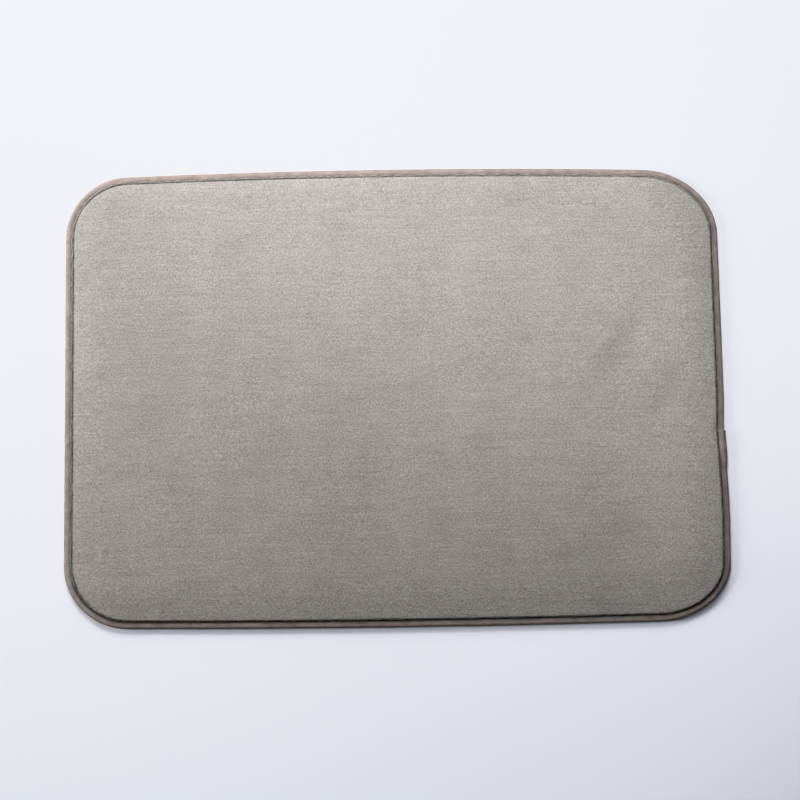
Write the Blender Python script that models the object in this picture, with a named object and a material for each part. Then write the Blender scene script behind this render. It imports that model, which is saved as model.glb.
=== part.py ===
"""A memory-foam bath mat: a plush face over a foam core on a dotted base cloth, all bound round the
edge with one strip of folded tape that a needle thread and a bobbin thread hold down.

Metres, +Z up. The origin is on the surface that the mat lies on, below the middle of the mat. The
front is towards -Y, and the ends of the binding tape meet on the right side, at +X.
"""

import math

import bmesh
import bpy
from mathutils import Matrix

# Plan, over the binding. WIDTH reaches to the tape's tail, which stands out on the right side
WIDTH = 0.610
DEPTH = 0.432
CORNER_RADIUS = 0.058
LONG_SIDE_BOW = 0.003
CORNER_STEPS = 10
BOW_STEPS = 4

# Layers, from the dots' tips up
DOT_HEIGHT = 0.0012
BASE_CLOTH = 0.0006
FOAM_AT_SEAM = 0.0010
FOAM_THICKNESS = 0.0062
PLUSH_AT_SEAM = 0.0017
PLUSH_THICKNESS = 0.0036
LAYER_GAP = 0.0002

# Shoulder, where the foam thins out towards the seam
SHOULDER_WIDTH = 0.017
SHOULDER_STEPS = 6

# Binding tape
TAPE_WIDTH = 0.0065
TAPE_THICKNESS = 0.00045
TAPE_FOLD_STEPS = 6
JOIN_Y = -0.034
JOIN_GAP = 0.0004
TAIL_STEP = 0.0010
TAIL_LENGTH = 0.030
TAIL_RAMP = 0.008

# Thread
THREAD_RADIUS = 0.000175
THREAD_GAP = 0.00015
SEAM_FROM_TAPE_EDGE = 0.0013

# Grip dots: every sixth dot of the printed grid, each way
DOT_RADIUS = 0.0015
DOT_TIP_RADIUS = 0.0012
DOT_SPACING = 0.054
DOT_COLUMNS = 11
DOT_ROWS = 7
DOT_SIDES = 8

# Levels and insets that follow from them
CLOTH_BOTTOM = DOT_HEIGHT
CLOTH_TOP = CLOTH_BOTTOM + BASE_CLOTH
FOAM_BOTTOM = CLOTH_TOP + LAYER_GAP
FOAM_EDGE_TOP = FOAM_BOTTOM + FOAM_AT_SEAM
FOAM_TOP = FOAM_BOTTOM + FOAM_THICKNESS
PLUSH_EDGE_BOTTOM = FOAM_EDGE_TOP + LAYER_GAP
PLUSH_EDGE_TOP = PLUSH_EDGE_BOTTOM + PLUSH_AT_SEAM
PLUSH_TOP = FOAM_TOP + LAYER_GAP + PLUSH_THICKNESS
TAPE_BOTTOM = CLOTH_BOTTOM - LAYER_GAP - TAPE_THICKNESS
TAPE_TOP = PLUSH_EDGE_TOP + LAYER_GAP + TAPE_THICKNESS
TAPE_MIDDLE = (TAPE_BOTTOM + TAPE_TOP) / 2
TAPE_FOLD_RADIUS = (TAPE_TOP - TAPE_BOTTOM) / 2
SIDE_X = WIDTH / 2 - TAIL_STEP
PLAN_MIDDLE_X = (SIDE_X - WIDTH / 2) / 2
LAYER_INSET = 0.0020
SHOULDER_INSET = TAPE_WIDTH + LAYER_GAP
FOAM_SHOULDER_INSET = SHOULDER_INSET + 0.0010
SEAM_INSET = TAPE_WIDTH - SEAM_FROM_TAPE_EDGE


def clear_scene():
    for existing in list(bpy.data.objects):
        bpy.data.objects.remove(existing)


def new_collection(name):
    collection = bpy.data.collections.new(name)
    bpy.context.scene.collection.children.link(collection)
    return collection


def material(name, colour, roughness):
    made = bpy.data.materials.new(name)
    made.use_nodes = True
    shader = made.node_tree.nodes["Principled BSDF"]
    shader.inputs["Base Color"].default_value = (*colour, 1.0)
    shader.inputs["Roughness"].default_value = roughness
    shader.inputs["Metallic"].default_value = 0.0
    made.diffuse_color = (*colour, 1.0)
    return made


def place(name, data, collection, finish):
    made = bpy.data.objects.new(name, data)
    data.materials.append(finish)
    collection.objects.link(made)
    return made


def outline(inset):
    """The plan shape this far inside the outer edge, counter-clockwise from the tape's join."""
    middle_x = SIDE_X - PLAN_MIDDLE_X - CORNER_RADIUS
    middle_y = DEPTH / 2 - LONG_SIDE_BOW - CORNER_RADIUS
    radius = CORNER_RADIUS - inset
    points = [(SIDE_X - inset, JOIN_Y)]
    for quarter, (side_x, side_y) in enumerate(((1, 1), (-1, 1), (-1, -1), (1, -1))):
        for step in range(CORNER_STEPS + 1):
            angle = math.radians(90) * (quarter + step / CORNER_STEPS)
            x = side_x * middle_x + radius * math.cos(angle)
            y = side_y * middle_y + radius * math.sin(angle)
            points.append((PLAN_MIDDLE_X + x, y))
        if quarter % 2 == 0:
            points += long_side(side_x * middle_x, side_y, middle_y + radius)
    return points


def long_side(start_x, side_y, end_y):
    """The points between the ends of a long side, which bows outwards a little."""
    points = []
    for step in range(1, BOW_STEPS):
        along = 1 - 2 * step / BOW_STEPS
        bow = LONG_SIDE_BOW * (1 - along**2)
        points.append((PLAN_MIDDLE_X + start_x * along, side_y * (end_y + bow)))
    return points


def mesh_from(shape, name):
    bmesh.ops.recalc_face_normals(shape, faces=shape.faces)
    mesh = bpy.data.meshes.new(name)
    shape.to_mesh(mesh)
    shape.free()
    mesh.shade_smooth()
    mesh.set_sharp_from_angle(angle=math.radians(35))
    return mesh


def slab(inset, bottom, top):
    """A flat slab of the mat's plan shape, and its upper face."""
    shape = bmesh.new()
    corners = [shape.verts.new((x, y, bottom)) for x, y in outline(inset)]
    base = shape.faces.new(corners)
    raised = bmesh.ops.extrude_face_region(shape, geom=[base])["geom"]
    raised_corners = [part for part in raised if isinstance(part, bmesh.types.BMVert)]
    bmesh.ops.translate(shape, vec=(0, 0, top - bottom), verts=raised_corners)
    upper = next(part for part in raised if isinstance(part, bmesh.types.BMFace))
    return shape, upper


def domed_slab(name, inset, bottom, edge_top, shoulder_inset, top):
    """A slab with a flat border, whose middle rises to the top over a quarter-ellipse shoulder."""
    shape, upper = slab(inset, bottom, edge_top)
    if shoulder_inset > inset:
        bmesh.ops.inset_region(shape, faces=[upper], thickness=shoulder_inset - inset)
    across = 0.0
    height = 0.0
    for step in range(1, SHOULDER_STEPS + 1):
        angle = math.radians(90) * step / SHOULDER_STEPS
        next_across = SHOULDER_WIDTH * (1 - math.cos(angle))
        next_height = (top - edge_top) * math.sin(angle)
        bmesh.ops.inset_region(shape, faces=[upper], thickness=next_across - across)
        bmesh.ops.translate(shape, vec=(0, 0, next_height - height), verts=upper.verts)
        across = next_across
        height = next_height
    return mesh_from(shape, name)


def join_or_cut(target, other, operation):
    other.hide_render = True
    other.display_type = "WIRE"
    boolean = target.modifiers.new(operation.lower(), "BOOLEAN")
    boolean.operation = operation
    boolean.solver = "EXACT"
    boolean.object = other


def make_base_cloth(parts, cutters):
    """The knitted cloth under the foam, with the soft plastic dots that are printed on it."""
    finish = material("base_cloth", (0.42, 0.41, 0.40), 0.85)
    shape, _ = slab(LAYER_INSET, CLOTH_BOTTOM, CLOTH_TOP)
    cloth = place("base_cloth", mesh_from(shape, "base_cloth"), parts, finish)

    dots = bmesh.new()
    dot_length = DOT_HEIGHT + BASE_CLOTH / 2
    for column in range(DOT_COLUMNS):
        for row in range(DOT_ROWS):
            x = (column - (DOT_COLUMNS - 1) / 2) * DOT_SPACING
            y = (row - (DOT_ROWS - 1) / 2) * DOT_SPACING
            bmesh.ops.create_cone(
                dots,
                cap_ends=True,
                segments=DOT_SIDES,
                radius1=DOT_TIP_RADIUS,
                radius2=DOT_RADIUS,
                depth=dot_length,
                matrix=Matrix.Translation((x, y, dot_length / 2)),
            )
    printed = place("printed_dots", mesh_from(dots, "printed_dots"), cutters, finish)
    join_or_cut(cloth, printed, "UNION")


def make_foam_core(parts):
    finish = material("foam_core", (0.86, 0.83, 0.72), 0.9)
    mesh = domed_slab(
        "foam_core", LAYER_INSET, FOAM_BOTTOM, FOAM_EDGE_TOP, FOAM_SHOULDER_INSET, FOAM_TOP
    )
    place("foam_core", mesh, parts, finish)


def make_plush_face(parts, cutters):
    """The pile cloth. It is hollow below, where the foam pushes up into it."""
    finish = material("plush_face", (0.33, 0.31, 0.288), 0.95)
    mesh = domed_slab(
        "plush_face", LAYER_INSET, PLUSH_EDGE_BOTTOM, PLUSH_EDGE_TOP, SHOULDER_INSET, PLUSH_TOP
    )
    face = place("plush_face", mesh, parts, finish)

    room = domed_slab(
        "room_for_foam",
        FOAM_SHOULDER_INSET - LAYER_GAP,
        FOAM_BOTTOM,
        PLUSH_EDGE_BOTTOM,
        FOAM_SHOULDER_INSET - LAYER_GAP,
        FOAM_TOP + LAYER_GAP,
    )
    join_or_cut(face, place("room_for_foam", room, cutters, finish), "DIFFERENCE")


def tape_section(cutters):
    """The folded tape's cross-section: two legs and a round outer fold, with +X outwards."""
    half_width = TAPE_WIDTH / 2
    fold_x = half_width - TAPE_FOLD_RADIUS
    inner_radius = TAPE_FOLD_RADIUS - TAPE_THICKNESS
    points = [(-half_width, -TAPE_FOLD_RADIUS)]
    for step in range(TAPE_FOLD_STEPS + 1):
        angle = math.radians(-90 + 180 * step / TAPE_FOLD_STEPS)
        x = fold_x + TAPE_FOLD_RADIUS * math.cos(angle)
        points.append((x, TAPE_FOLD_RADIUS * math.sin(angle)))
    points += [(-half_width, TAPE_FOLD_RADIUS), (-half_width, inner_radius)]
    for step in range(TAPE_FOLD_STEPS + 1):
        angle = math.radians(90 - 180 * step / TAPE_FOLD_STEPS)
        x = fold_x + inner_radius * math.cos(angle)
        points.append((x, inner_radius * math.sin(angle)))
    points.append((-half_width, -inner_radius))

    section = bpy.data.curves.new("tape_section", "CURVE")
    section.dimensions = "2D"
    section.fill_mode = "NONE"
    spline = section.splines.new("POLY")
    spline.points.add(len(points) - 1)
    for point, (x, y) in zip(spline.points, points):
        point.co = (x, y, 0, 1)
    spline.use_cyclic_u = True
    made = bpy.data.objects.new("tape_section", section)
    cutters.objects.link(made)
    made.hide_render = True
    return made


def path(name, points, height):
    """An open curve through plan points, at one height."""
    curve = bpy.data.curves.new(name, "CURVE")
    curve.dimensions = "3D"
    curve.twist_mode = "Z_UP"
    curve.use_fill_caps = True
    spline = curve.splines.new("POLY")
    spline.points.add(len(points) - 1)
    for point, (x, y) in zip(spline.points, points):
        point.co = (x, y, height, 1)
    return curve


def solid_of_curve(swept, name):
    """The swept curve as a closed mesh, with its end caps welded on. The curve is removed."""
    bpy.context.view_layer.update()
    evaluated = swept.evaluated_get(bpy.context.evaluated_depsgraph_get())
    mesh = bpy.data.meshes.new_from_object(evaluated)
    mesh.materials.clear()
    shape = bmesh.new()
    shape.from_mesh(mesh)
    bmesh.ops.remove_doubles(shape, verts=shape.verts, dist=0.00001)
    bpy.data.objects.remove(swept)
    bpy.data.meshes.remove(mesh)
    return mesh_from(shape, name)


def make_edge_binding(parts, cutters):
    """One strip of tape round the whole mat. Its tail steps outwards before it meets its head."""
    finish = material("edge_binding", (0.33, 0.285, 0.25), 0.8)
    points = outline(TAPE_WIDTH / 2)
    side_x = points[0][0]
    tail_start = JOIN_Y - TAIL_LENGTH
    points.append((side_x, tail_start - TAIL_RAMP))
    points.append((side_x + TAIL_STEP, tail_start))
    points.append((side_x + TAIL_STEP, JOIN_Y - JOIN_GAP))
    curve = path("tape_path", points, TAPE_MIDDLE)
    curve.bevel_mode = "OBJECT"
    curve.bevel_object = tape_section(cutters)
    swept = place("tape_path", curve, cutters, finish)
    place("edge_binding", solid_of_curve(swept, "edge_binding"), parts, finish)


def make_thread(name, height, parts):
    """One of the seam's two threads, round the whole mat at the seam line."""
    finish = material(name, (0.30, 0.26, 0.235), 0.7)
    points = outline(SEAM_INSET)
    points.append((points[0][0], JOIN_Y - JOIN_GAP - 2 * THREAD_RADIUS))
    curve = path(name, points, height)
    curve.bevel_depth = THREAD_RADIUS
    curve.bevel_resolution = 2
    place(name, curve, parts, finish)


clear_scene()
parts = new_collection("bath_mat")
cutters = new_collection("cutters")
make_base_cloth(parts, cutters)
make_foam_core(parts)
make_plush_face(parts, cutters)
make_edge_binding(parts, cutters)
make_thread("needle_thread", TAPE_TOP + THREAD_GAP + THREAD_RADIUS, parts)
make_thread("bobbin_thread", TAPE_BOTTOM - THREAD_GAP - THREAD_RADIUS, parts)
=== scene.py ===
"""A memory-foam bath mat with a short plush face, bound round its rim with a strip of stitched tape."""

import math

import bmesh
import bpy
import numpy as np
from mathutils import Matrix, Vector, noise


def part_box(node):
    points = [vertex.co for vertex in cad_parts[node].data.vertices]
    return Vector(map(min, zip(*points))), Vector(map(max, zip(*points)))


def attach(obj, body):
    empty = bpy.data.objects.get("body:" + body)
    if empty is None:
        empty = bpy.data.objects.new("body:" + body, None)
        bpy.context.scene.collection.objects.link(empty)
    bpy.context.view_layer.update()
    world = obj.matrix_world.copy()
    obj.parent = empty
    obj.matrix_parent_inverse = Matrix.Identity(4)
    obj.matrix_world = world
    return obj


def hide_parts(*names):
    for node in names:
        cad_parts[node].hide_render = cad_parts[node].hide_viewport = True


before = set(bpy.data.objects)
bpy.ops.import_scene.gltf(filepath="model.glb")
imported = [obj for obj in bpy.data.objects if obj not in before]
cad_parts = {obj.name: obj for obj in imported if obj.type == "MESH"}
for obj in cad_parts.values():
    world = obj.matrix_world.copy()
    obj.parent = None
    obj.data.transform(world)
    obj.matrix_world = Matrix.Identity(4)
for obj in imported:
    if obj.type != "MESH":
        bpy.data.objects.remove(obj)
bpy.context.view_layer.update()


# ---- Camera ----
# A long lens looks down on the mat from two metres up, leaning a little towards its front, and is
# turned a degree so that the mat lies slightly askew in the frame.
CAMERA_DISTANCE = 2.0
CAMERA_LEAN = math.radians(9.55)
CAMERA_TURN = math.radians(-0.84)
AIM_POINT = Vector((0.0038, -0.0036, 0.0))

camera_data = bpy.data.cameras.new("camera")
camera_data.lens = 97.0
camera_data.sensor_width = 36.0
camera = bpy.data.objects.new("camera", camera_data)
bpy.context.scene.collection.objects.link(camera)
height = CAMERA_DISTANCE * math.cos(CAMERA_LEAN)
stand = Matrix.Translation((0.0, -CAMERA_DISTANCE * math.sin(CAMERA_LEAN), height))
lean = Matrix.Rotation(CAMERA_LEAN, 4, "X")
turn = Matrix.Rotation(CAMERA_TURN, 4, "Z")
camera.matrix_world = Matrix.Translation(AIM_POINT) @ turn @ stand @ lean
bpy.context.scene.camera = camera


# ---- The cut and the sewn shape ----
# All the layers are die-cut together as a rectangle with round corners. Sewing the tape on pulls each
# corner to its own curve, lets the long sides bow out, and leaves a slight bulge beside the tape's join.
_, tape_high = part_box("edge_binding")
MIDDLE_X = -0.0007
HALF_WIDTH = tape_high.x + MIDDLE_X
HALF_DEPTH = tape_high.y - 0.0054
CORNERS = {
    (1, 1): (0.071, 0.060),
    (-1, 1): (0.056, 0.057),
    (-1, -1): (0.058, 0.058),
    (1, -1): (0.066, 0.053),
}
BACK_BOW = 0.0061
FRONT_BOW = 0.0030
LEFT_BOW = 0.0018
LEFT_SLANT = 0.0011


def as_sewn(x, y):
    """Where a point of the flat cut lies on the finished mat."""
    across, along = x / HALF_WIDTH, y / HALF_DEPTH
    bulge = 0.0014 * np.exp(-(((y + 0.113) / 0.042) ** 2)) - 0.0011 * np.exp(-(((y + 0.036) / 0.020) ** 2))
    sideways = np.where(across < 0, (LEFT_BOW + LEFT_SLANT * along) * across, bulge * across**4)
    lengthways = np.where(along > 0, BACK_BOW, FRONT_BOW) * along * (1 - across**2)
    return x + sideways + MIDDLE_X, y + lengthways


def rounded(x, y):
    """The inset of each point of a rectangle, and the point moved so that the corners are round."""
    side_x, side_y = np.where(x < 0, -1, 1), np.where(y < 0, -1, 1)
    reach_x, reach_y = np.abs(x), np.abs(y)
    inset = np.minimum(HALF_WIDTH - reach_x, HALF_DEPTH - reach_y)
    wide, deep = np.zeros_like(inset), np.zeros_like(inset)
    for corner, (corner_wide, corner_deep) in CORNERS.items():
        here = (side_x == corner[0]) & (side_y == corner[1])
        left = np.clip(1 - 2 * inset / (corner_wide + corner_deep), 0, None)
        wide, deep = np.where(here, corner_wide * left, wide), np.where(here, corner_deep * left, deep)
    start_x, start_y = HALF_WIDTH - inset - wide, HALF_DEPTH - inset - deep
    on_long_side = HALF_DEPTH - reach_y <= HALF_WIDTH - reach_x
    from_long = (reach_x - start_x) / np.maximum(wide, 1e-9)
    from_short = (reach_y - start_y) / np.maximum(deep, 1e-9)
    share = np.where(on_long_side, 0.5 * from_long, 1 - 0.5 * from_short)
    turned = np.where(on_long_side, from_long > 0, from_short > 0) & (wide > 1e-6)
    angle = (1 - share) * math.pi / 2
    round_x = np.where(turned, start_x + wide * np.cos(angle), reach_x)
    round_y = np.where(turned, start_y + deep * np.sin(angle), reach_y)
    return inset, side_x * round_x, side_y * round_y


# ---- Base cloth ----
# A thin warp-knitted polyester cloth under the foam. It is stretched flat and its edge is caught in the tape.
BASE_GREY = (0.34, 0.335, 0.33, 1.0)
BASE_GREY_DARK = (0.25, 0.245, 0.24, 1.0)
CLOTH_THICKNESS = 0.0006
LAYER_INSET = 0.0020
_, cloth_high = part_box("base_cloth")


def layer_grid(ring_insets, spacing):
    """A layer as rings near its edge and a square grid inside them: x, y and inset of every point."""
    def lines(half):
        inner_half = half - ring_insets[-1]
        inner = np.linspace(-inner_half, inner_half, round(2 * inner_half / spacing) + 1)
        outer = half - np.array(ring_insets[:-1])
        return np.concatenate([-outer, inner, outer[::-1]])

    x, y = np.meshgrid(lines(HALF_WIDTH), lines(HALF_DEPTH), indexing="ij")
    inset, x, y = rounded(x, y)
    x, y = as_sewn(x, y)
    return x, y, inset


def closed_layer(upper, lower):
    """Points and faces of a closed sheet, from grids (x, y, z) of its upper and lower surface."""
    points, faces, rims = [], [], []
    for grid, facing in ((upper, 1), (lower, -1)):
        columns, rows = grid[0].shape
        index = np.arange(columns * rows).reshape(columns, rows) + sum(len(part) for part in points)
        quads = np.stack([index[:-1, :-1], index[1:, :-1], index[1:, 1:], index[:-1, 1:]], axis=-1)
        faces += quads.reshape(-1, 4)[:, ::facing].tolist()
        points.append(np.stack([part.ravel() for part in grid], axis=1))
        rim = np.concatenate([index[:-1, 0], index[-1, :-1], index[:0:-1, -1], index[0, :0:-1]])
        rims.append(np.append(rim, rim[0]))
    points = np.concatenate(points)
    shares = []
    for rim in rims:
        steps = np.linalg.norm(np.diff(points[rim, :2], axis=0), axis=1)
        shares.append(np.concatenate([[0], np.cumsum(steps)]) / steps.sum())
    high, low = 0, 0
    while high < len(rims[0]) - 1 or low < len(rims[1]) - 1:
        low_done = low == len(rims[1]) - 1
        if low_done or (high < len(rims[0]) - 1 and shares[0][high + 1] <= shares[1][low + 1]):
            faces.append([rims[0][high + 1], rims[0][high], rims[1][low]])
            high += 1
        else:
            faces.append([rims[0][high], rims[1][low], rims[1][low + 1]])
            low += 1
    return points, faces


def rough(points, lump, seed=0.0):
    """Smooth noise from -1 to 1 at each point, with lumps of about this size in metres."""
    places = np.asarray(points) / lump + seed
    return np.array([noise.noise(Vector(place)) for place in places.tolist()])


def piece(name, points, faces, finish):
    """A smooth mesh piece that rides on the mat's one body."""
    mesh = bpy.data.meshes.new(name)
    mesh.from_pydata(points.tolist(), [], [list(map(int, face)) for face in faces])
    mesh.materials.append(finish)
    mesh.shade_smooth()
    made = bpy.data.objects.new(name, mesh)
    bpy.context.scene.collection.objects.link(made)
    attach(made, "root")
    return made


def nodes_of(material):
    material.use_nodes = True
    tree = material.node_tree
    return tree.nodes, tree.links, tree.nodes["Principled BSDF"]


def add(nodes, kind, **values):
    """A node of this kind, with its settings and the values of its sockets."""
    node = nodes.new(kind)
    for name, value in values.items():
        if name in node.bl_rna.properties:
            setattr(node, name, value)
        else:
            node.inputs[name.replace("_", " ")].default_value = value
    return node


def knit_group():
    """Rows of small stitches over a surface, from a vector in metres: how high each point stands."""
    tree = bpy.data.node_groups.new("knit", "ShaderNodeTree")
    tree.interface.new_socket("Vector", in_out="INPUT", socket_type="NodeSocketVector")
    for name in ("Courses", "Wales"):
        tree.interface.new_socket(name, in_out="INPUT", socket_type="NodeSocketFloat")
    tree.interface.new_socket("Height", in_out="OUTPUT", socket_type="NodeSocketFloat")
    nodes, links = tree.nodes, tree.links
    inlet, outlet = nodes.new("NodeGroupInput"), nodes.new("NodeGroupOutput")
    split = add(nodes, "ShaderNodeSeparateXYZ")
    links.new(inlet.outputs["Vector"], split.inputs[0])
    wander = add(nodes, "ShaderNodeTexNoise", Scale=900.0, Detail=2.0)
    links.new(inlet.outputs["Vector"], wander.inputs["Vector"])
    waves = []
    for axis, count in (("X", "Courses"), ("Y", "Wales")):
        turns = add(nodes, "ShaderNodeMath", operation="MULTIPLY")
        links.new(split.outputs[axis], turns.inputs[0])
        links.new(inlet.outputs[count], turns.inputs[1])
        shifted = add(nodes, "ShaderNodeMath", operation="ADD")
        links.new(turns.outputs[0], shifted.inputs[0])
        links.new(wander.outputs[0], shifted.inputs[1])
        wave = add(nodes, "ShaderNodeMath", operation="SINE")
        links.new(shifted.outputs[0], wave.inputs[0])
        waves.append(wave)
    both = add(nodes, "ShaderNodeMath", operation="MULTIPLY_ADD")
    both.inputs[1].default_value = 0.6
    links.new(waves[1].outputs[0], both.inputs[0])
    links.new(waves[0].outputs[0], both.inputs[2])
    scaled = add(nodes, "ShaderNodeMapRange", clamp=True)
    scaled.inputs["From Min"].default_value = -1.6
    scaled.inputs["From Max"].default_value = 1.6
    links.new(both.outputs[0], scaled.inputs["Value"])
    links.new(scaled.outputs["Result"], outlet.inputs["Height"])
    return tree


KNIT = knit_group()


def base_cloth_finish():
    material = bpy.data.materials.new("knitted_base")
    nodes, links, shader = nodes_of(material)
    place = add(nodes, "ShaderNodeTexCoord")
    knit = add(nodes, "ShaderNodeGroup", node_tree=KNIT)
    knit.inputs["Courses"].default_value = 7400.0
    knit.inputs["Wales"].default_value = 5200.0
    links.new(place.outputs["Object"], knit.inputs["Vector"])
    colour = add(nodes, "ShaderNodeMix", data_type="RGBA")
    colour.inputs[6].default_value = BASE_GREY_DARK
    colour.inputs[7].default_value = BASE_GREY
    links.new(knit.outputs["Height"], colour.inputs["Factor"])
    links.new(colour.outputs[2], shader.inputs["Base Color"])
    bump = add(nodes, "ShaderNodeBump", Strength=0.5, Distance=0.0003)
    links.new(knit.outputs["Height"], bump.inputs["Height"])
    links.new(bump.outputs[0], shader.inputs["Normal"])
    shader.inputs["Roughness"].default_value = 0.8
    shader.inputs["Specular IOR Level"].default_value = 0.25
    return material


def make_base_cloth():
    x, y, inset = layer_grid([LAYER_INSET, 0.004, 0.006, 0.009, 0.014, 0.020], 0.007)
    flat = np.stack([x.ravel(), y.ravel(), 0 * x.ravel()], axis=1)
    slack = rough(flat, 0.030).reshape(x.shape) * 0.00012 * np.clip((inset - 0.006) / 0.02, 0, 1)
    bottom = cloth_high.z - CLOTH_THICKNESS + slack
    points, faces = closed_layer((x, y, bottom + CLOTH_THICKNESS), (x, y, bottom))
    cloth = piece("base_cloth_sheet", points, faces, base_cloth_finish())
    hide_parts("base_cloth")


# ---- Grip dots ----
# Soft plastic dots printed through a screen on the cloth and fused to it, in staggered rows. Each is a
# low blunt cone with a softened tip, and the mat stands on them.
DOT_PITCH = 0.009
DOT_ROOT, DOT_WAIST, DOT_TIP = 0.0016, 0.00145, 0.00105
DOT_SIDES = 8
DOT_CLEARANCE = 0.0105
DOT_CORNER = 0.066


def grip_dot_finish():
    material = bpy.data.materials.new("soft_grip_plastic")
    nodes, links, shader = nodes_of(material)
    place = add(nodes, "ShaderNodeTexCoord")
    mottle = add(nodes, "ShaderNodeTexNoise", Scale=1200.0, Detail=2.0)
    links.new(place.outputs["Object"], mottle.inputs["Vector"])
    colour = add(nodes, "ShaderNodeMix", data_type="RGBA")
    colour.inputs[6].default_value = (0.50, 0.49, 0.47, 1.0)
    colour.inputs[7].default_value = (0.58, 0.57, 0.55, 1.0)
    links.new(mottle.outputs[0], colour.inputs["Factor"])
    links.new(colour.outputs[2], shader.inputs["Base Color"])
    bump = add(nodes, "ShaderNodeBump", Strength=0.2, Distance=0.0002)
    links.new(mottle.outputs[0], bump.inputs["Height"])
    links.new(bump.outputs[0], shader.inputs["Normal"])
    shader.inputs["Roughness"].default_value = 0.42
    return material


def dot_places():
    """Where the dots are: staggered rows that keep clear of the tape."""
    places = []
    for row in range(-23, 24):
        y = row * DOT_PITCH
        for column in range(-34, 35):
            x = (column + 0.5 * (row % 2)) * DOT_PITCH
            inset, _, _ = rounded(np.array([x]), np.array([y]))
            near_x, near_y = max(HALF_WIDTH - abs(x), 0), max(HALF_DEPTH - abs(y), 0)
            in_corner = near_x < DOT_CORNER and near_y < DOT_CORNER
            from_middle = math.hypot(DOT_CORNER - near_x, DOT_CORNER - near_y)
            cut_off = in_corner and from_middle > DOT_CORNER - DOT_CLEARANCE
            if inset[0] > DOT_CLEARANCE and not cut_off:
                places.append((x, y))
    return np.array(places)


def make_grip_dots():
    places = dot_places()
    top = cloth_high.z - CLOTH_THICKNESS
    profile = ((DOT_ROOT, top + 0.0002), (DOT_ROOT, top - 0.0001), (DOT_WAIST, 0.00045), (DOT_TIP, 0.0))
    turns = -np.arange(DOT_SIDES) * 2 * math.pi / DOT_SIDES
    one = [(radius * math.cos(a), radius * math.sin(a), z) for radius, z in profile for a in turns]
    rings = len(profile)
    faces = [list(range(DOT_SIDES))[::-1]]
    for ring in range(rings - 1):
        for side in range(DOT_SIDES):
            a, b = ring * DOT_SIDES + side, ring * DOT_SIDES + (side + 1) % DOT_SIDES
            faces.append([a, b, b + DOT_SIDES, a + DOT_SIDES])
    faces.append(list(range((rings - 1) * DOT_SIDES, rings * DOT_SIDES)))
    points = (np.array(one)[None] + np.pad(places, ((0, 0), (0, 1)))[:, None]).reshape(-1, 3)
    starts = range(0, len(points), len(one))
    all_faces = [[corner + start for corner in face] for start in starts for face in faces]
    piece("grip_dots", points, all_faces, grip_dot_finish())


make_grip_dots()
make_base_cloth()


# ---- Foam core ----
# One slab of slow memory foam. It is full thickness across the middle and squashed to under a
# millimetre where the tape grips it, which gives the mat its low pillow edge.
foam_low, foam_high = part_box("foam_core")
SHOULDER_INSET = 0.0067
CROWN_WIDTH = 0.0450
FOAM_EDGE_TOP = foam_low.z + 0.0004
FOAM_TOP = foam_high.z - 0.0002


def crown(inset, start):
    """How far the middle has risen at an inset from the rim: 0 up to the start, 1 across the mat."""
    return 1 - (1 - np.clip((inset - start) / CROWN_WIDTH, 0, 1)) ** 2


def crown_insets(start, steps):
    """Insets up the crown, closer together where it is steep."""
    return [start + CROWN_WIDTH * (step / steps) ** 1.4 for step in range(steps + 1)]


def foam_height(inset):
    return FOAM_EDGE_TOP + (FOAM_TOP - FOAM_EDGE_TOP) * crown(inset, SHOULDER_INSET)


def foam_finish():
    material = bpy.data.materials.new("memory_foam")
    nodes, links, shader = nodes_of(material)
    place = add(nodes, "ShaderNodeTexCoord")
    cells = add(nodes, "ShaderNodeTexVoronoi", Scale=1400.0)
    links.new(place.outputs["Object"], cells.inputs["Vector"])
    colour = add(nodes, "ShaderNodeMix", data_type="RGBA")
    colour.inputs[6].default_value = (0.86, 0.82, 0.68, 1.0)
    colour.inputs[7].default_value = (0.74, 0.69, 0.54, 1.0)
    links.new(cells.outputs["Distance"], colour.inputs["Factor"])
    links.new(colour.outputs[2], shader.inputs["Base Color"])
    bump = add(nodes, "ShaderNodeBump", Strength=0.6, Distance=0.0003)
    links.new(cells.outputs["Distance"], bump.inputs["Height"])
    links.new(bump.outputs[0], shader.inputs["Normal"])
    shader.inputs["Roughness"].default_value = 0.9
    return material


def make_foam_core():
    rings = [LAYER_INSET, 0.005] + crown_insets(SHOULDER_INSET, 10)
    x, y, inset = layer_grid(rings, 0.006)
    flat = np.stack([x.ravel(), y.ravel(), 0 * x.ravel()], axis=1)
    wave = rough(flat, 0.060).reshape(x.shape) * 0.00015 * np.clip((inset - 0.02) / 0.02, 0, 1)
    top = foam_height(inset) + wave
    points, faces = closed_layer((x, y, top), (x, y, np.full_like(top, foam_low.z)))
    foam = piece("foam_slab", points, faces, foam_finish())
    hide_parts("foam_core")


make_foam_core()


# ---- Plush face ----
# A knitted polyester cloth with a dense brushed pile 2 or 3 mm long. It is stretched over the foam and
# dives into the seam all round. The pile shows faint knit rows, nap bands and a few brushed marks. Its
# colour also carries painted light: a painted sheen along the rim and broad painted light and shade.
_, plush_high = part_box("plush_face")
PILE_LIGHT = (0.413, 0.397, 0.376, 1.0)
PILE_DARK = (0.202, 0.192, 0.181, 1.0)
PILE_UPRIGHT = 0.72
# Painted sheen: the pile's colour is up to 4% lighter in a band along its rim.
RIM_PAINTED_SHEEN = 0.25
FACE_EDGE_TOP = foam_low.z + 0.0010
FACE_TOP = plush_high.z - 0.0001
PILE_WALL = 0.0023
PILE_ROUND = 0.0005
FACE_SPACING = 0.0023
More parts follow.
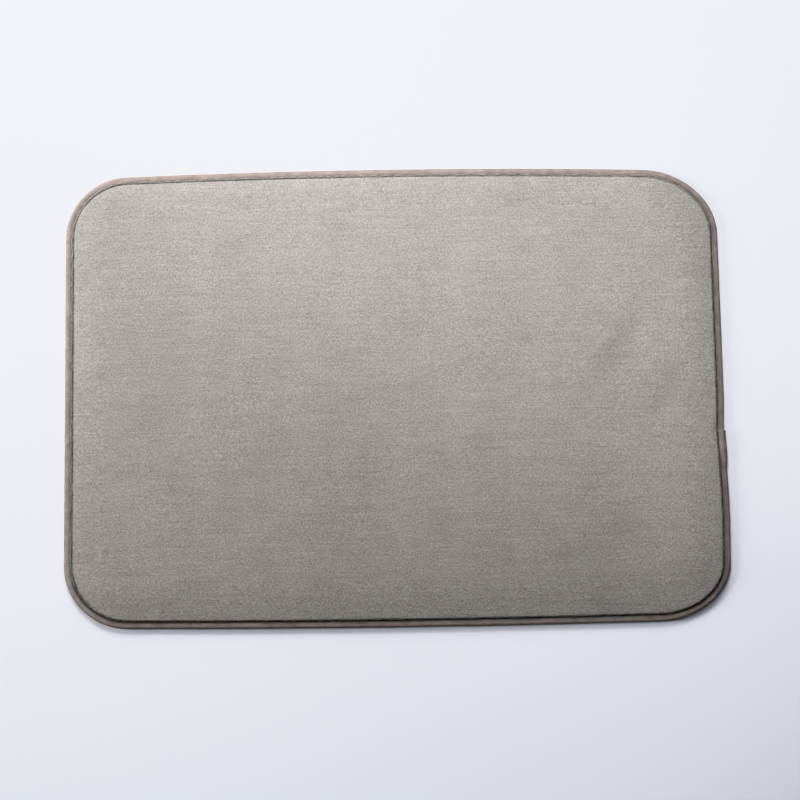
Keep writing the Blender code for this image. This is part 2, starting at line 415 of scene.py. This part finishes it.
# Middle across and along, half widths, turn and strength of each brushed mark. The last four aren't marks:
# they are broad painted light and shade that even out the lighting, lighter on the right and darker on the
# left.
NAP_MARKS_AND_PAINTED_TONE = (
    (0.205, 0.045, 0.010, 0.045, -0.55, 0.55),
    (0.245, 0.000, 0.010, 0.034, -0.60, 0.50),
    (0.075, -0.045, 0.012, 0.009, 0.3, 0.30),
    (0.205, -0.125, 0.018, 0.012, 0.2, 0.45),
    (0.150, -0.150, 0.020, 0.008, 0.1, 0.35),
    (0.115, 0.185, 0.030, 0.008, 0.0, 0.35),
    (-0.150, 0.140, 0.022, 0.010, 0.4, 0.30),
    (-0.230, -0.020, 0.022, 0.012, 0.8, 0.30),
    (0.315, -0.080, 0.080, 0.230, 0.0, -0.95),
    (-0.300, 0.170, 0.060, 0.090, 0.0, 0.45),
    (-0.310, -0.080, 0.050, 0.140, 0.0, 0.45),
    (-0.100, 0.190, 0.250, 0.030, 0.0, 0.20),
)


def nap_group():
    """The pile's colour between a dark and a light, and how high it stands, over the mat."""
    tree = bpy.data.node_groups.new("nap", "ShaderNodeTree")
    for name in ("Dark", "Light"):
        tree.interface.new_socket(name, in_out="INPUT", socket_type="NodeSocketColor")
    tree.interface.new_socket("Colour", in_out="OUTPUT", socket_type="NodeSocketColor")
    tree.interface.new_socket("Height", in_out="OUTPUT", socket_type="NodeSocketFloat")
    nodes, links = tree.nodes, tree.links
    inlet, outlet = nodes.new("NodeGroupInput"), nodes.new("NodeGroupOutput")
    place = add(nodes, "ShaderNodeTexCoord")
    fields = (
        ("tufts", (600.0, 760.0, 600.0), 3.0, 1.65),
        ("rows", (18.0, 460.0, 18.0), 2.0, 0.32),
        ("bands", (26.0, 2.0, 2.0), 1.0, 0.10),
        ("patches", (85.0, 85.0, 85.0), 1.0, 0.15),
        ("clouds", (24.0, 30.0, 24.0), 2.0, 0.16),
    )
    total = add(nodes, "ShaderNodeValue", label="middle")
    total.outputs[0].default_value = 0.5 - 0.5 * sum(share for _, _, _, share in fields)
    for name, scale, detail, share in fields:
        spread = add(nodes, "ShaderNodeMapping", vector_type="POINT", label=name)
        spread.inputs["Scale"].default_value = scale
        links.new(place.outputs["Object"], spread.inputs["Vector"])
        field = add(nodes, "ShaderNodeTexNoise", Scale=1.0, Detail=detail, Roughness=0.6)
        links.new(spread.outputs[0], field.inputs["Vector"])
        summed = add(nodes, "ShaderNodeMath", operation="MULTIPLY_ADD", label=name)
        summed.inputs[1].default_value = share
        links.new(field.outputs[0], summed.inputs[0])
        links.new(total.outputs[0], summed.inputs[2])
        total = summed
        if name == "tufts":
            links.new(field.outputs[0], outlet.inputs["Height"])
    colour = add(nodes, "ShaderNodeMix", data_type="RGBA")
    links.new(total.outputs[0], colour.inputs["Factor"])
    links.new(inlet.outputs["Dark"], colour.inputs[6])
    links.new(inlet.outputs["Light"], colour.inputs[7])
    links.new(colour.outputs[2], outlet.inputs["Colour"])
    return tree


NAP = nap_group()


def fuzzy_normal(nodes, links, upright):
    """The normal of a fuzzy cloth, which is lit partly as if it faced straight up.

    Up is the world's up, so this only suits a mat that lies flat with its face on top.
    """
    own = add(nodes, "ShaderNodeNewGeometry")
    mixed = add(nodes, "ShaderNodeMix", data_type="VECTOR")
    mixed.inputs["Factor"].default_value = upright
    mixed.inputs[5].default_value = (0.0, 0.0, 1.0)
    links.new(own.outputs["Normal"], mixed.inputs[4])
    evened = add(nodes, "ShaderNodeVectorMath", operation="NORMALIZE")
    links.new(mixed.outputs[1], evened.inputs[0])
    return evened.outputs[0]


def pile_finish(name, dark, light):
    material = bpy.data.materials.new(name)
    nodes, links, shader = nodes_of(material)
    nap = add(nodes, "ShaderNodeGroup", node_tree=NAP)
    nap.inputs["Dark"].default_value = dark
    nap.inputs["Light"].default_value = light
    # The attribute darkens the colour by up to 16% and lightens it likewise: brushed marks, plus painted
    # sheen and painted light and shade.
    nap_and_painted_light = add(nodes, "ShaderNodeAttribute", attribute_name="nap_and_painted_light")
    shade = add(nodes, "ShaderNodeMath", operation="MULTIPLY_ADD")
    shade.inputs[1].default_value = -0.16
    shade.inputs[2].default_value = 1.0
    links.new(nap_and_painted_light.outputs["Fac"], shade.inputs[0])
    marked = add(nodes, "ShaderNodeVectorMath", operation="SCALE")
    links.new(nap.outputs["Colour"], marked.inputs[0])
    links.new(shade.outputs[0], marked.inputs["Scale"])
    links.new(marked.outputs[0], shader.inputs["Base Color"])
    facing = fuzzy_normal(nodes, links, PILE_UPRIGHT)
    bump = add(nodes, "ShaderNodeBump", Strength=0.35, Distance=0.0005)
    links.new(nap.outputs["Height"], bump.inputs["Height"])
    links.new(facing, bump.inputs["Normal"])
    links.new(bump.outputs[0], shader.inputs["Normal"])
    shader.inputs["Roughness"].default_value = 0.95
    shader.inputs["Specular IOR Level"].default_value = 0.1
    shader.inputs["Sheen Weight"].default_value = 0.12
    shader.inputs["Sheen Roughness"].default_value = 0.45
    shader.inputs["Sheen Tint"].default_value = (1.0, 0.98, 0.95, 1.0)
    return material


def pile_edge(inset):
    """How high the pile stands at an inset near its edge: a blunt wall, then the foam's crown."""
    share = np.clip((inset - SHOULDER_INSET) / PILE_ROUND, 0, 1)
    wall = PILE_WALL * (1 - (1 - share) ** 2.5) ** (1 / 2.5)
    return FACE_EDGE_TOP + wall + (FACE_TOP - FACE_EDGE_TOP - PILE_WALL) * crown(inset, SHOULDER_INSET)


def face_height(x, y, inset):
    """How high the plush stands, with soft hollows where the foam has settled."""
    flat = np.stack([x.ravel(), y.ravel(), 0 * x.ravel()], axis=1)
    swell = rough(flat, 0.085, 3.0) * 0.00030 + rough(flat, 0.028, 7.0) * 0.00010
    return pile_edge(inset) + swell.reshape(x.shape) * np.clip((inset - 0.010) / 0.02, 0, 1)


def nap_and_painted_light_marks(x, y, inset):
    """How much darker each point of the pile is: up to 1 at brushed marks and painted shade, below 0 where
    painted sheen and painted light lighten it.
    """
    # Painted sheen: a lighter band along the rim.
    marks = -RIM_PAINTED_SHEEN * np.exp(-(((inset - SHOULDER_INSET) / 0.009) ** 2))
    for middle_x, middle_y, half_across, half_along, turned, strength in NAP_MARKS_AND_PAINTED_TONE:
        across = (x - middle_x) * math.cos(turned) + (y - middle_y) * math.sin(turned)
        along = -(x - middle_x) * math.sin(turned) + (y - middle_y) * math.cos(turned)
        marks += strength * np.exp(-((across / half_across) ** 2) - (along / half_along) ** 2)
    return np.clip(marks, -1, 1)


def make_plush_face():
    hidden = [LAYER_INSET, 0.0038, 0.0051, 0.0061]
    wall = [SHOULDER_INSET + PILE_ROUND * share for share in (0, 0.02, 0.08, 0.2, 0.38, 0.6, 0.85)]
    rings = hidden + wall + crown_insets(SHOULDER_INSET + 0.0012, 14)
    x, y, inset = layer_grid(rings, FACE_SPACING)
    top = face_height(x, y, inset)
    flat = np.stack([x.ravel(), y.ravel(), top.ravel()], axis=1)
    tufts = (rough(flat, 0.0021, 1.0) * 0.00012).reshape(x.shape) * (inset > SHOULDER_INSET + 0.0001)
    under_x, under_y, under_inset = layer_grid([LAYER_INSET, 0.005] + crown_insets(SHOULDER_INSET, 10), 0.009)
    under = foam_height(under_inset) + 0.0003
    points, faces = closed_layer((x, y, top + tufts), (under_x, under_y, under))
    finish = pile_finish("brushed_pile", PILE_DARK, PILE_LIGHT)
    face = piece("plush_pile", points, faces, finish)
    # Brushed marks and painted light and shade, one value per point of the top.
    nap_and_painted_light = face.data.attributes.new("nap_and_painted_light", "FLOAT", "POINT")
    marks = np.zeros(len(points), dtype=np.float32)
    marks[: x.size] = nap_and_painted_light_marks(x, y, inset).ravel()
    nap_and_painted_light.data.foreach_set("value", marks)
    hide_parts("plush_face")
    return face


plush_face = make_plush_face()


# ---- Pile at the edge ----
# The outermost tufts of the pile lean out over the seam and half hide it, so the edge looks ragged.
TUFT_ROWS = 4
TUFT_GAP = 0.00062
# Painted highlight: the tufts are coloured about a third lighter than the pile, for the light they catch
# along the edge.
TUFT_LIGHT_WITH_PAINTED_HIGHLIGHT = (0.55, 0.53, 0.51, 1.0)
TUFT_DARK_WITH_PAINTED_HIGHLIGHT = (0.28, 0.265, 0.25, 1.0)
TUFT_DEPTHS = (0.00005, 0.00020, 0.00045, 0.00095)
TUFT_CLIMBS = (1.1, 1.5, 2.0, 2.8)


def rim_line():
    """A fine closed line 4 mm inside the rim, anticlockwise from the middle of the right side."""
    half_x, half_y = HALF_WIDTH - RIM_INSET, HALF_DEPTH - RIM_INSET
    posts = [(half_x, 0), (half_x, half_y), (-half_x, half_y)]
    posts += [(-half_x, -half_y), (half_x, -half_y), (half_x, 0)]
    runs = [np.linspace(a, b, 1500, endpoint=False) for a, b in zip(posts[:-1], posts[1:])]
    _, x, y = rounded(*np.concatenate(runs).T)
    x, y = as_sewn(x, y)
    x, y = np.append(x, x[0]), np.append(y, y[0])
    way = np.concatenate([[0], np.cumsum(np.hypot(np.diff(x), np.diff(y)))])
    return way, x, y


RIM_INSET = 0.004
RIM_WAY, RIM_X, RIM_Y = rim_line()
RIM_LENGTH = RIM_WAY[-1]


def beside_rim(way, inset):
    """Points this far along the rim, in metres, and this far inside it."""
    def at(distance):
        distance = np.mod(distance, RIM_LENGTH)
        return np.interp(distance, RIM_WAY, RIM_X), np.interp(distance, RIM_WAY, RIM_Y)

    x, y = at(way)
    (ahead_x, ahead_y), (behind_x, behind_y) = at(way + 0.002), at(way - 0.002)
    along_x, along_y = ahead_x - behind_x, ahead_y - behind_y
    length = np.hypot(along_x, along_y)
    outwards = RIM_INSET - inset
    return x + outwards * along_y / length, y - outwards * along_x / length


def make_edge_tufts():
    chance = np.random.default_rng(11)
    per_row = int(RIM_LENGTH / TUFT_GAP)
    way = np.tile(np.arange(per_row) * TUFT_GAP, TUFT_ROWS)
    way += chance.uniform(-0.0003, 0.0003, len(way))
    row = np.repeat(np.arange(TUFT_ROWS), per_row)
    depth = np.array(TUFT_DEPTHS)[row] + chance.uniform(0, 0.00015, len(row))
    inset = SHOULDER_INSET + depth
    root_x, root_y = beside_rim(way, inset)
    tip_x, tip_y = beside_rim(way + chance.normal(0, 0.0005, len(row)), inset - 0.001)
    out_x, out_y = (tip_x - root_x) / 0.001, (tip_y - root_y) / 0.001
    root = np.stack([root_x, root_y, pile_edge(inset)], axis=1)
    climb = np.array(TUFT_CLIMBS)[row] + chance.normal(0, 0.25, len(row))
    lean = np.stack([out_x, out_y, climb], axis=1)
    lean /= np.linalg.norm(lean, axis=1)[:, None]
    clump = 1.0 + 0.8 * rough(root, 0.0036, 5.0)
    length = chance.uniform(0.0008, 0.0015, len(row)) * clump
    sideways = np.cross(lean, [0, 0, 1.0])
    sideways /= np.linalg.norm(sideways, axis=1)[:, None]
    upward = np.cross(sideways, lean)
    rings = []
    for share, radius in ((-0.25, 0.00034), (0.5, 0.00032)):
        middle = root + lean * (share * length)[:, None]
        for turn in (math.pi / 2, math.pi * 7 / 6, math.pi * 11 / 6):
            rings.append(middle + radius * (math.cos(turn) * sideways + math.sin(turn) * upward))
    droop = np.array([0, 0, -0.00025])
    rings.append(root + lean * length[:, None] + droop)
    points = np.stack(rings, axis=1).reshape(-1, 3)
    one = [[2, 1, 0], [0, 1, 4, 3], [1, 2, 5, 4], [2, 0, 3, 5], [3, 4, 6], [4, 5, 6], [5, 3, 6]]
    faces = [[corner + 7 * number for corner in face] for number in range(len(row)) for face in one]
    # The tufts' lighter colours are painted highlight.
    finish = pile_finish("pile_tips_painted_highlight", TUFT_DARK_WITH_PAINTED_HIGHLIGHT, TUFT_LIGHT_WITH_PAINTED_HIGHLIGHT)
    return piece("pile_edge_tufts", points, faces, finish)


edge_tufts = make_edge_tufts()


# ---- Edge binding ----
# One strip of knitted polyester tape, folded round the raw edges and stitched through. It is rolled
# and a little puffy outside the seam. Its tail is laid over its head on the right side.
JOIN_WAY = -0.037
OVERLAP = 0.026
TAPE_THICKNESS = 0.00045
LAP_LIFT = 0.0012
TAPE_STEP = 0.0010
STITCH = 0.0030
TAPE_SECTION = (
    (0.0070, 0.00385),
    (0.0062, 0.00380),
    (0.0055, 0.00388),
    (0.0048, 0.00410),
    (0.0039, 0.00430),
    (0.0029, 0.00436),
    (0.0019, 0.00426),
    (0.0010, 0.00392),
    (0.0003, 0.00315),
    (0.0000, 0.00215),
    (0.0002, 0.00120),
    (0.0009, 0.00062),
    (0.0024, 0.00050),
    (0.0040, 0.00058),
    (0.0053, 0.00084),
    (0.0065, 0.00080),
)
SECTION_POINTS = 22
TAPE_LIGHT = (0.335, 0.298, 0.277, 1.0)
TAPE_DARK = (0.240, 0.210, 0.193, 1.0)
TAPE_UPRIGHT = 0.60
SEAM_INSET = 0.0059


def smooth_section():
    """The folded tape's section as evenly spaced points on a smooth line: insets and heights."""
    guide = np.array(TAPE_SECTION)
    padded = np.concatenate([[2 * guide[0] - guide[1]], guide, [2 * guide[-1] - guide[-2]]])
    line = []
    for before, start, end, after in zip(padded[:-3], padded[1:-2], padded[2:-1], padded[3:]):
        for t in np.linspace(0, 1, 12, endpoint=False):
            bend = (end - before) * t + (2 * before - 5 * start + 4 * end - after) * t**2
            line.append(start + 0.5 * (bend + (3 * start - before - 3 * end + after) * t**3))
    line = np.array(line + [guide[-1]])
    way = np.concatenate([[0], np.cumsum(np.linalg.norm(np.diff(line, axis=0), axis=1))])
    even = np.linspace(0, way[-1], SECTION_POINTS)
    return np.interp(even, way, line[:, 0]), np.interp(even, way, line[:, 1]), even


def tape_finish():
    material = bpy.data.materials.new("knitted_tape")
    nodes, links, shader = nodes_of(material)
    place = add(nodes, "ShaderNodeUVMap", uv_map="tape")
    knit = add(nodes, "ShaderNodeGroup", node_tree=KNIT)
    knit.inputs["Courses"].default_value = 6800.0
    knit.inputs["Wales"].default_value = 4200.0
    links.new(place.outputs[0], knit.inputs["Vector"])
    mottle = add(nodes, "ShaderNodeTexNoise", Scale=140.0, Detail=3.0)
    links.new(place.outputs[0], mottle.inputs["Vector"])
    mixed = add(nodes, "ShaderNodeMath", operation="MULTIPLY_ADD")
    mixed.inputs[1].default_value = 0.35
    links.new(knit.outputs["Height"], mixed.inputs[0])
    links.new(mottle.outputs[0], mixed.inputs[2])
    scaled = add(nodes, "ShaderNodeMapRange", clamp=True)
    scaled.inputs["From Min"].default_value = 0.40
    scaled.inputs["From Max"].default_value = 0.95
    links.new(mixed.outputs[0], scaled.inputs["Value"])
    colour = add(nodes, "ShaderNodeMix", data_type="RGBA")
    colour.inputs[6].default_value = TAPE_DARK
    colour.inputs[7].default_value = TAPE_LIGHT
    links.new(scaled.outputs["Result"], colour.inputs["Factor"])
    links.new(colour.outputs[2], shader.inputs["Base Color"])
    bump = add(nodes, "ShaderNodeBump", Strength=0.5, Distance=0.00025)
    links.new(knit.outputs["Height"], bump.inputs["Height"])
    links.new(fuzzy_normal(nodes, links, TAPE_UPRIGHT), bump.inputs["Normal"])
    links.new(bump.outputs[0], shader.inputs["Normal"])
    shader.inputs["Roughness"].default_value = 0.75
    shader.inputs["Specular IOR Level"].default_value = 0.25
    shader.inputs["Sheen Weight"].default_value = 0.05
    return material


def eased(value, start, end):
    """0 before start, 1 after end, and smooth between."""
    share = np.clip((value - start) / (end - start), 0, 1)
    return share * share * (3 - 2 * share)


def lapped(way):
    """How far the tail of the tape has risen over its head: 0 before the lap and 1 on it."""
    lap_start = RIM_LENGTH + JOIN_WAY - OVERLAP
    return eased(way, lap_start - 0.010, lap_start + 0.002)


def tape_surface(way, offset):
    """Rows of points across the tape at each distance along it, moved outwards from its middle."""
    inset, height, _ = smooth_section()
    slope_x, slope_z = np.gradient(inset), np.gradient(height)
    length = np.hypot(slope_x, slope_z)
    out_x, out_z = slope_z / length, -slope_x / length
    end = RIM_LENGTH + JOIN_WAY
    lap = lapped(way)
    puff = 0.00016 * rough(np.stack([way, 0 * way, 0 * way], axis=1), 0.011, 2.0)
    spread = 0.00020 * rough(np.stack([way, 0 * way, 0 * way], axis=1), 0.042, 9.0)
    dimple = 0.5 + 0.5 * np.cos(2 * math.pi * way / STITCH)
    near_seam = np.exp(-(((inset - SEAM_INSET) / 0.0008) ** 2)) * (height > 0.003)
    fold = 0.0005 * np.exp(-(((way - end + 0.0012) / 0.0010) ** 2))
    lift = offset + (lap * LAP_LIFT + fold)[:, None] + puff[:, None] * (height > 0.002)
    lift = lift - 0.00014 * dimple[:, None] * near_seam[None, :]
    out = inset[None, :] - out_x[None, :] * -lift - spread[:, None] * 0.5
    up = height[None, :] + out_z[None, :] * lift
    x, y = beside_rim(np.repeat(way, SECTION_POINTS), out.ravel())
    return np.stack([x, y, np.maximum(up.ravel(), 0.00012)], axis=1).reshape(len(way), SECTION_POINTS, 3)


def make_edge_binding():
    start, end = JOIN_WAY - OVERLAP, RIM_LENGTH + JOIN_WAY
    way = np.linspace(start, end, round((end - start) / TAPE_STEP) + 1)
    outer = tape_surface(way, TAPE_THICKNESS / 2)
    inner = tape_surface(way, -TAPE_THICKNESS / 2)
    round_section = 2 * SECTION_POINTS
    points = np.concatenate([outer, inner[:, ::-1]], axis=1).reshape(-1, 3)
    index = np.arange(len(points)).reshape(len(way), round_section)
    beside = np.roll(index, -1, axis=1)
    quads = np.stack([index[:-1], beside[:-1], beside[1:], index[1:]], axis=-1).reshape(-1, 4)
    faces = quads.tolist() + [index[0][::-1].tolist(), index[-1].tolist()]
    tape = piece("binding_tape", points, faces, tape_finish())
    shape = bmesh.new()
    shape.from_mesh(tape.data)
    bmesh.ops.recalc_face_normals(shape, faces=shape.faces)
    _, _, across = smooth_section()
    map_layer = shape.loops.layers.uv.new("tape")
    around = np.concatenate([across, across[::-1]])
    for face in shape.faces:
        for loop in face.loops:
            row, column = divmod(loop.vert.index, round_section)
            loop[map_layer].uv = (way[row], around[column])
    shape.to_mesh(tape.data)
    shape.free()
    tape.data.shade_smooth()
    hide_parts("edge_binding")


make_edge_binding()


# ---- Seam threads ----
# A lockstitch seam in spun polyester. The needle thread lies along the top of the tape and dips into
# each needle hole. The bobbin thread does the same underneath.
THREAD_RADIUS = 0.00024
SEAM_TOP = 0.00390 + TAPE_THICKNESS / 2
SEAM_BOTTOM = 0.00086 - TAPE_THICKNESS / 2


def thread_finish():
    material = bpy.data.materials.new("spun_thread")
    nodes, links, shader = nodes_of(material)
    place = add(nodes, "ShaderNodeTexCoord")
    twist = add(nodes, "ShaderNodeTexNoise", Scale=2600.0, Detail=1.0)
    links.new(place.outputs["Object"], twist.inputs["Vector"])
    colour = add(nodes, "ShaderNodeMix", data_type="RGBA")
    # The thread is a dark red-brown, made darker than that as painted shade that deepens the seam groove.
    colour.inputs[6].default_value = (0.10, 0.070, 0.066, 1.0)
    colour.inputs[7].default_value = (0.17, 0.125, 0.115, 1.0)
    links.new(twist.outputs[0], colour.inputs["Factor"])
    links.new(colour.outputs[2], shader.inputs["Base Color"])
    shader.inputs["Roughness"].default_value = 0.6
    return material


THREAD = thread_finish()


def make_thread(name, node, surface, side):
    """A row of stitches on one side of the tape: side is 1 on top and -1 underneath."""
    start, end = JOIN_WAY - 0.004, RIM_LENGTH + JOIN_WAY - 0.001
    count = int((end - start) / STITCH)
    steps = np.arange(count * 5 + 1)
    way = start - (start % STITCH) + steps * STITCH / 5
    arch = np.array([-0.00055, 0.00008, 0.00020, 0.00020, 0.00008])[steps % 5]
    height = surface + side * (arch + lapped(way) * LAP_LIFT * (side > 0))
    x, y = beside_rim(way, np.full(len(way), SEAM_INSET))
    curve = bpy.data.curves.new(name, "CURVE")
    curve.dimensions = "3D"
    curve.bevel_depth = THREAD_RADIUS
    curve.bevel_resolution = 1
    curve.use_fill_caps = True
    spline = curve.splines.new("POLY")
    spline.points.add(len(way) - 1)
    spline.points.foreach_set("co", np.stack([x, y, height, 0 * x + 1], axis=1).ravel())
    thread = bpy.data.objects.new(name, curve)
    bpy.context.scene.collection.objects.link(thread)
    bpy.ops.object.select_all(action="DESELECT")
    thread.select_set(True)
    bpy.context.view_layer.objects.active = thread
    bpy.ops.object.convert(target="MESH")
    thread.data.materials.clear()
    thread.data.materials.append(THREAD)
    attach(thread, "root")
    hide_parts(node)


make_thread("needle_stitches", "needle_thread", SEAM_TOP, 1)
make_thread("bobbin_stitches", "bobbin_thread", SEAM_BOTTOM, -1)


# ---- Floor and light ----
# A smooth white floor. A key light hangs just behind the mat, broad soft lights stand further behind it
# and on its left, and a weak fill and a pale sky lift the shadows at the front and on the right. The
# fill's lower part is below the floor, which leaves a hard edge of light on the floor beside it.
def stage_finish():
    material = bpy.data.materials.new("white_floor")
    _, _, shader = nodes_of(material)
    shader.inputs["Base Color"].default_value = (0.84, 0.845, 0.88, 1.0)
    shader.inputs["Roughness"].default_value = 0.6
    shader.inputs["Specular IOR Level"].default_value = 0.2
    return material


bpy.ops.object.select_all(action="DESELECT")
bpy.ops.mesh.primitive_plane_add(size=8.0)
floor = bpy.context.object
floor.name = "floor"
floor.data.materials.append(stage_finish())


def soft_light(name, place, aim, watts, size, spread):
    data = bpy.data.lights.new(name, "AREA")
    data.shape = "SQUARE"
    data.size = size
    data.energy = watts
    data.spread = math.radians(spread)
    light = bpy.data.objects.new(name, data)
    bpy.context.scene.collection.objects.link(light)
    light.location = place
    light.rotation_euler = (Vector(aim) - Vector(place)).to_track_quat("-Z", "Y").to_euler()


soft_light("key", (-0.010, 0.700, 0.600), (0.181, 0.544, 0.0), 1.85, 1.00, 40)
soft_light("back", (-0.404, 1.968, 0.800), (-0.483, 0.410, 0.0), 18.8, 1.60, 54)
soft_light("side", (-2.091, 0.190, 0.650), (0.548, 0.595, 0.0), 19.0, 1.00, 57)
soft_light("fill", (1.600, -2.000, 0.500), (0.100, -0.100, 0.0), 18.0, 1.60, 180)
world = bpy.data.worlds.new("pale_room")
world.use_nodes = True
world.node_tree.nodes["Background"].inputs["Color"].default_value = (0.94, 0.97, 1.08, 1.0)
world.node_tree.nodes["Background"].inputs["Strength"].default_value = 0.24
bpy.context.scene.world = world
bpy.context.scene.view_settings.view_transform = "Khronos PBR Neutral"
bpy.context.scene.view_settings.gamma = 0.65
